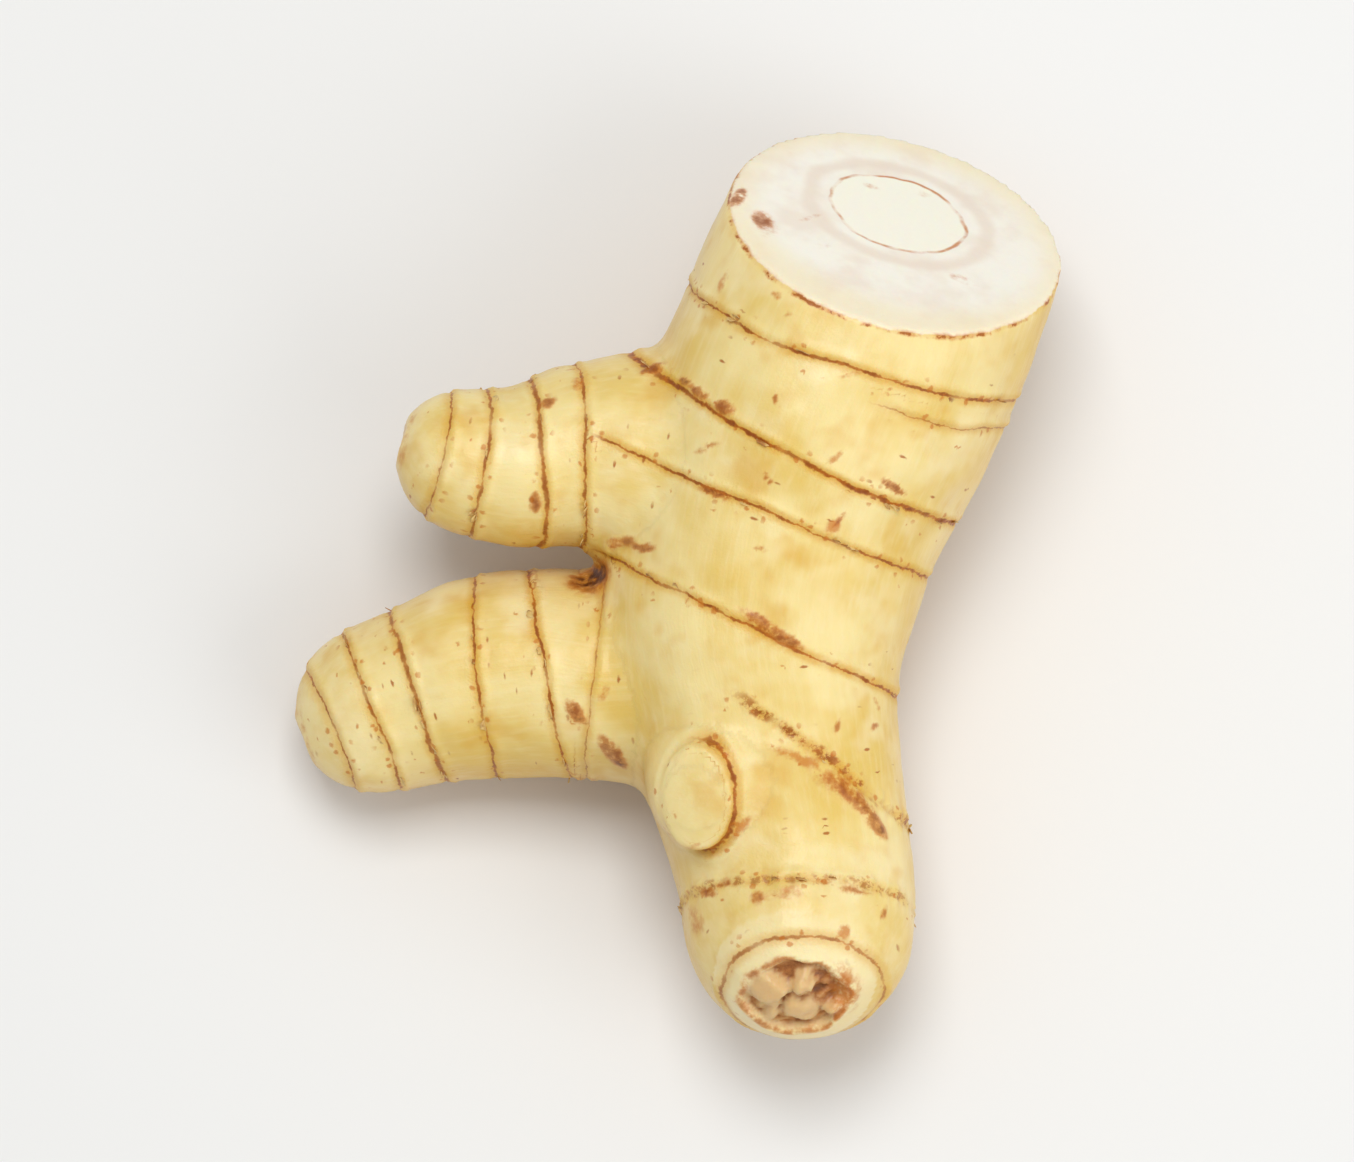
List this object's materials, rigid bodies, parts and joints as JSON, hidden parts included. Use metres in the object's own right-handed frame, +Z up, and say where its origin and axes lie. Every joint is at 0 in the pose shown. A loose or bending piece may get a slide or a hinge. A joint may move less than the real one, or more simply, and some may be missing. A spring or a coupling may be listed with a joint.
{
  "type": "galangal root",
  "caption": "Fresh galangal rhizome lying on its underside: a thick ringed stem with a slanting cut end, a blunt finger, short side shoots and a bud.",
  "frame": {"origin": "centre of the bounding box's underside, on the surface that the rhizome lies on", "axes": "+Y along the stem towards its cut end, +Z up, -X towards the side shoots"},
  "size_m": [0.0787, 0.0952, 0.0401],
  "materials": {
    "rhizome_skin": "thin ivory-yellow skin with a slight waxy sheen, ringed by thin brown leaf scars; white fibrous flesh on the cut end"
  },
  "bodies": {
    "root": {"galangal_rhizome": "rhizome_skin"}
  },
  "joints": []
}
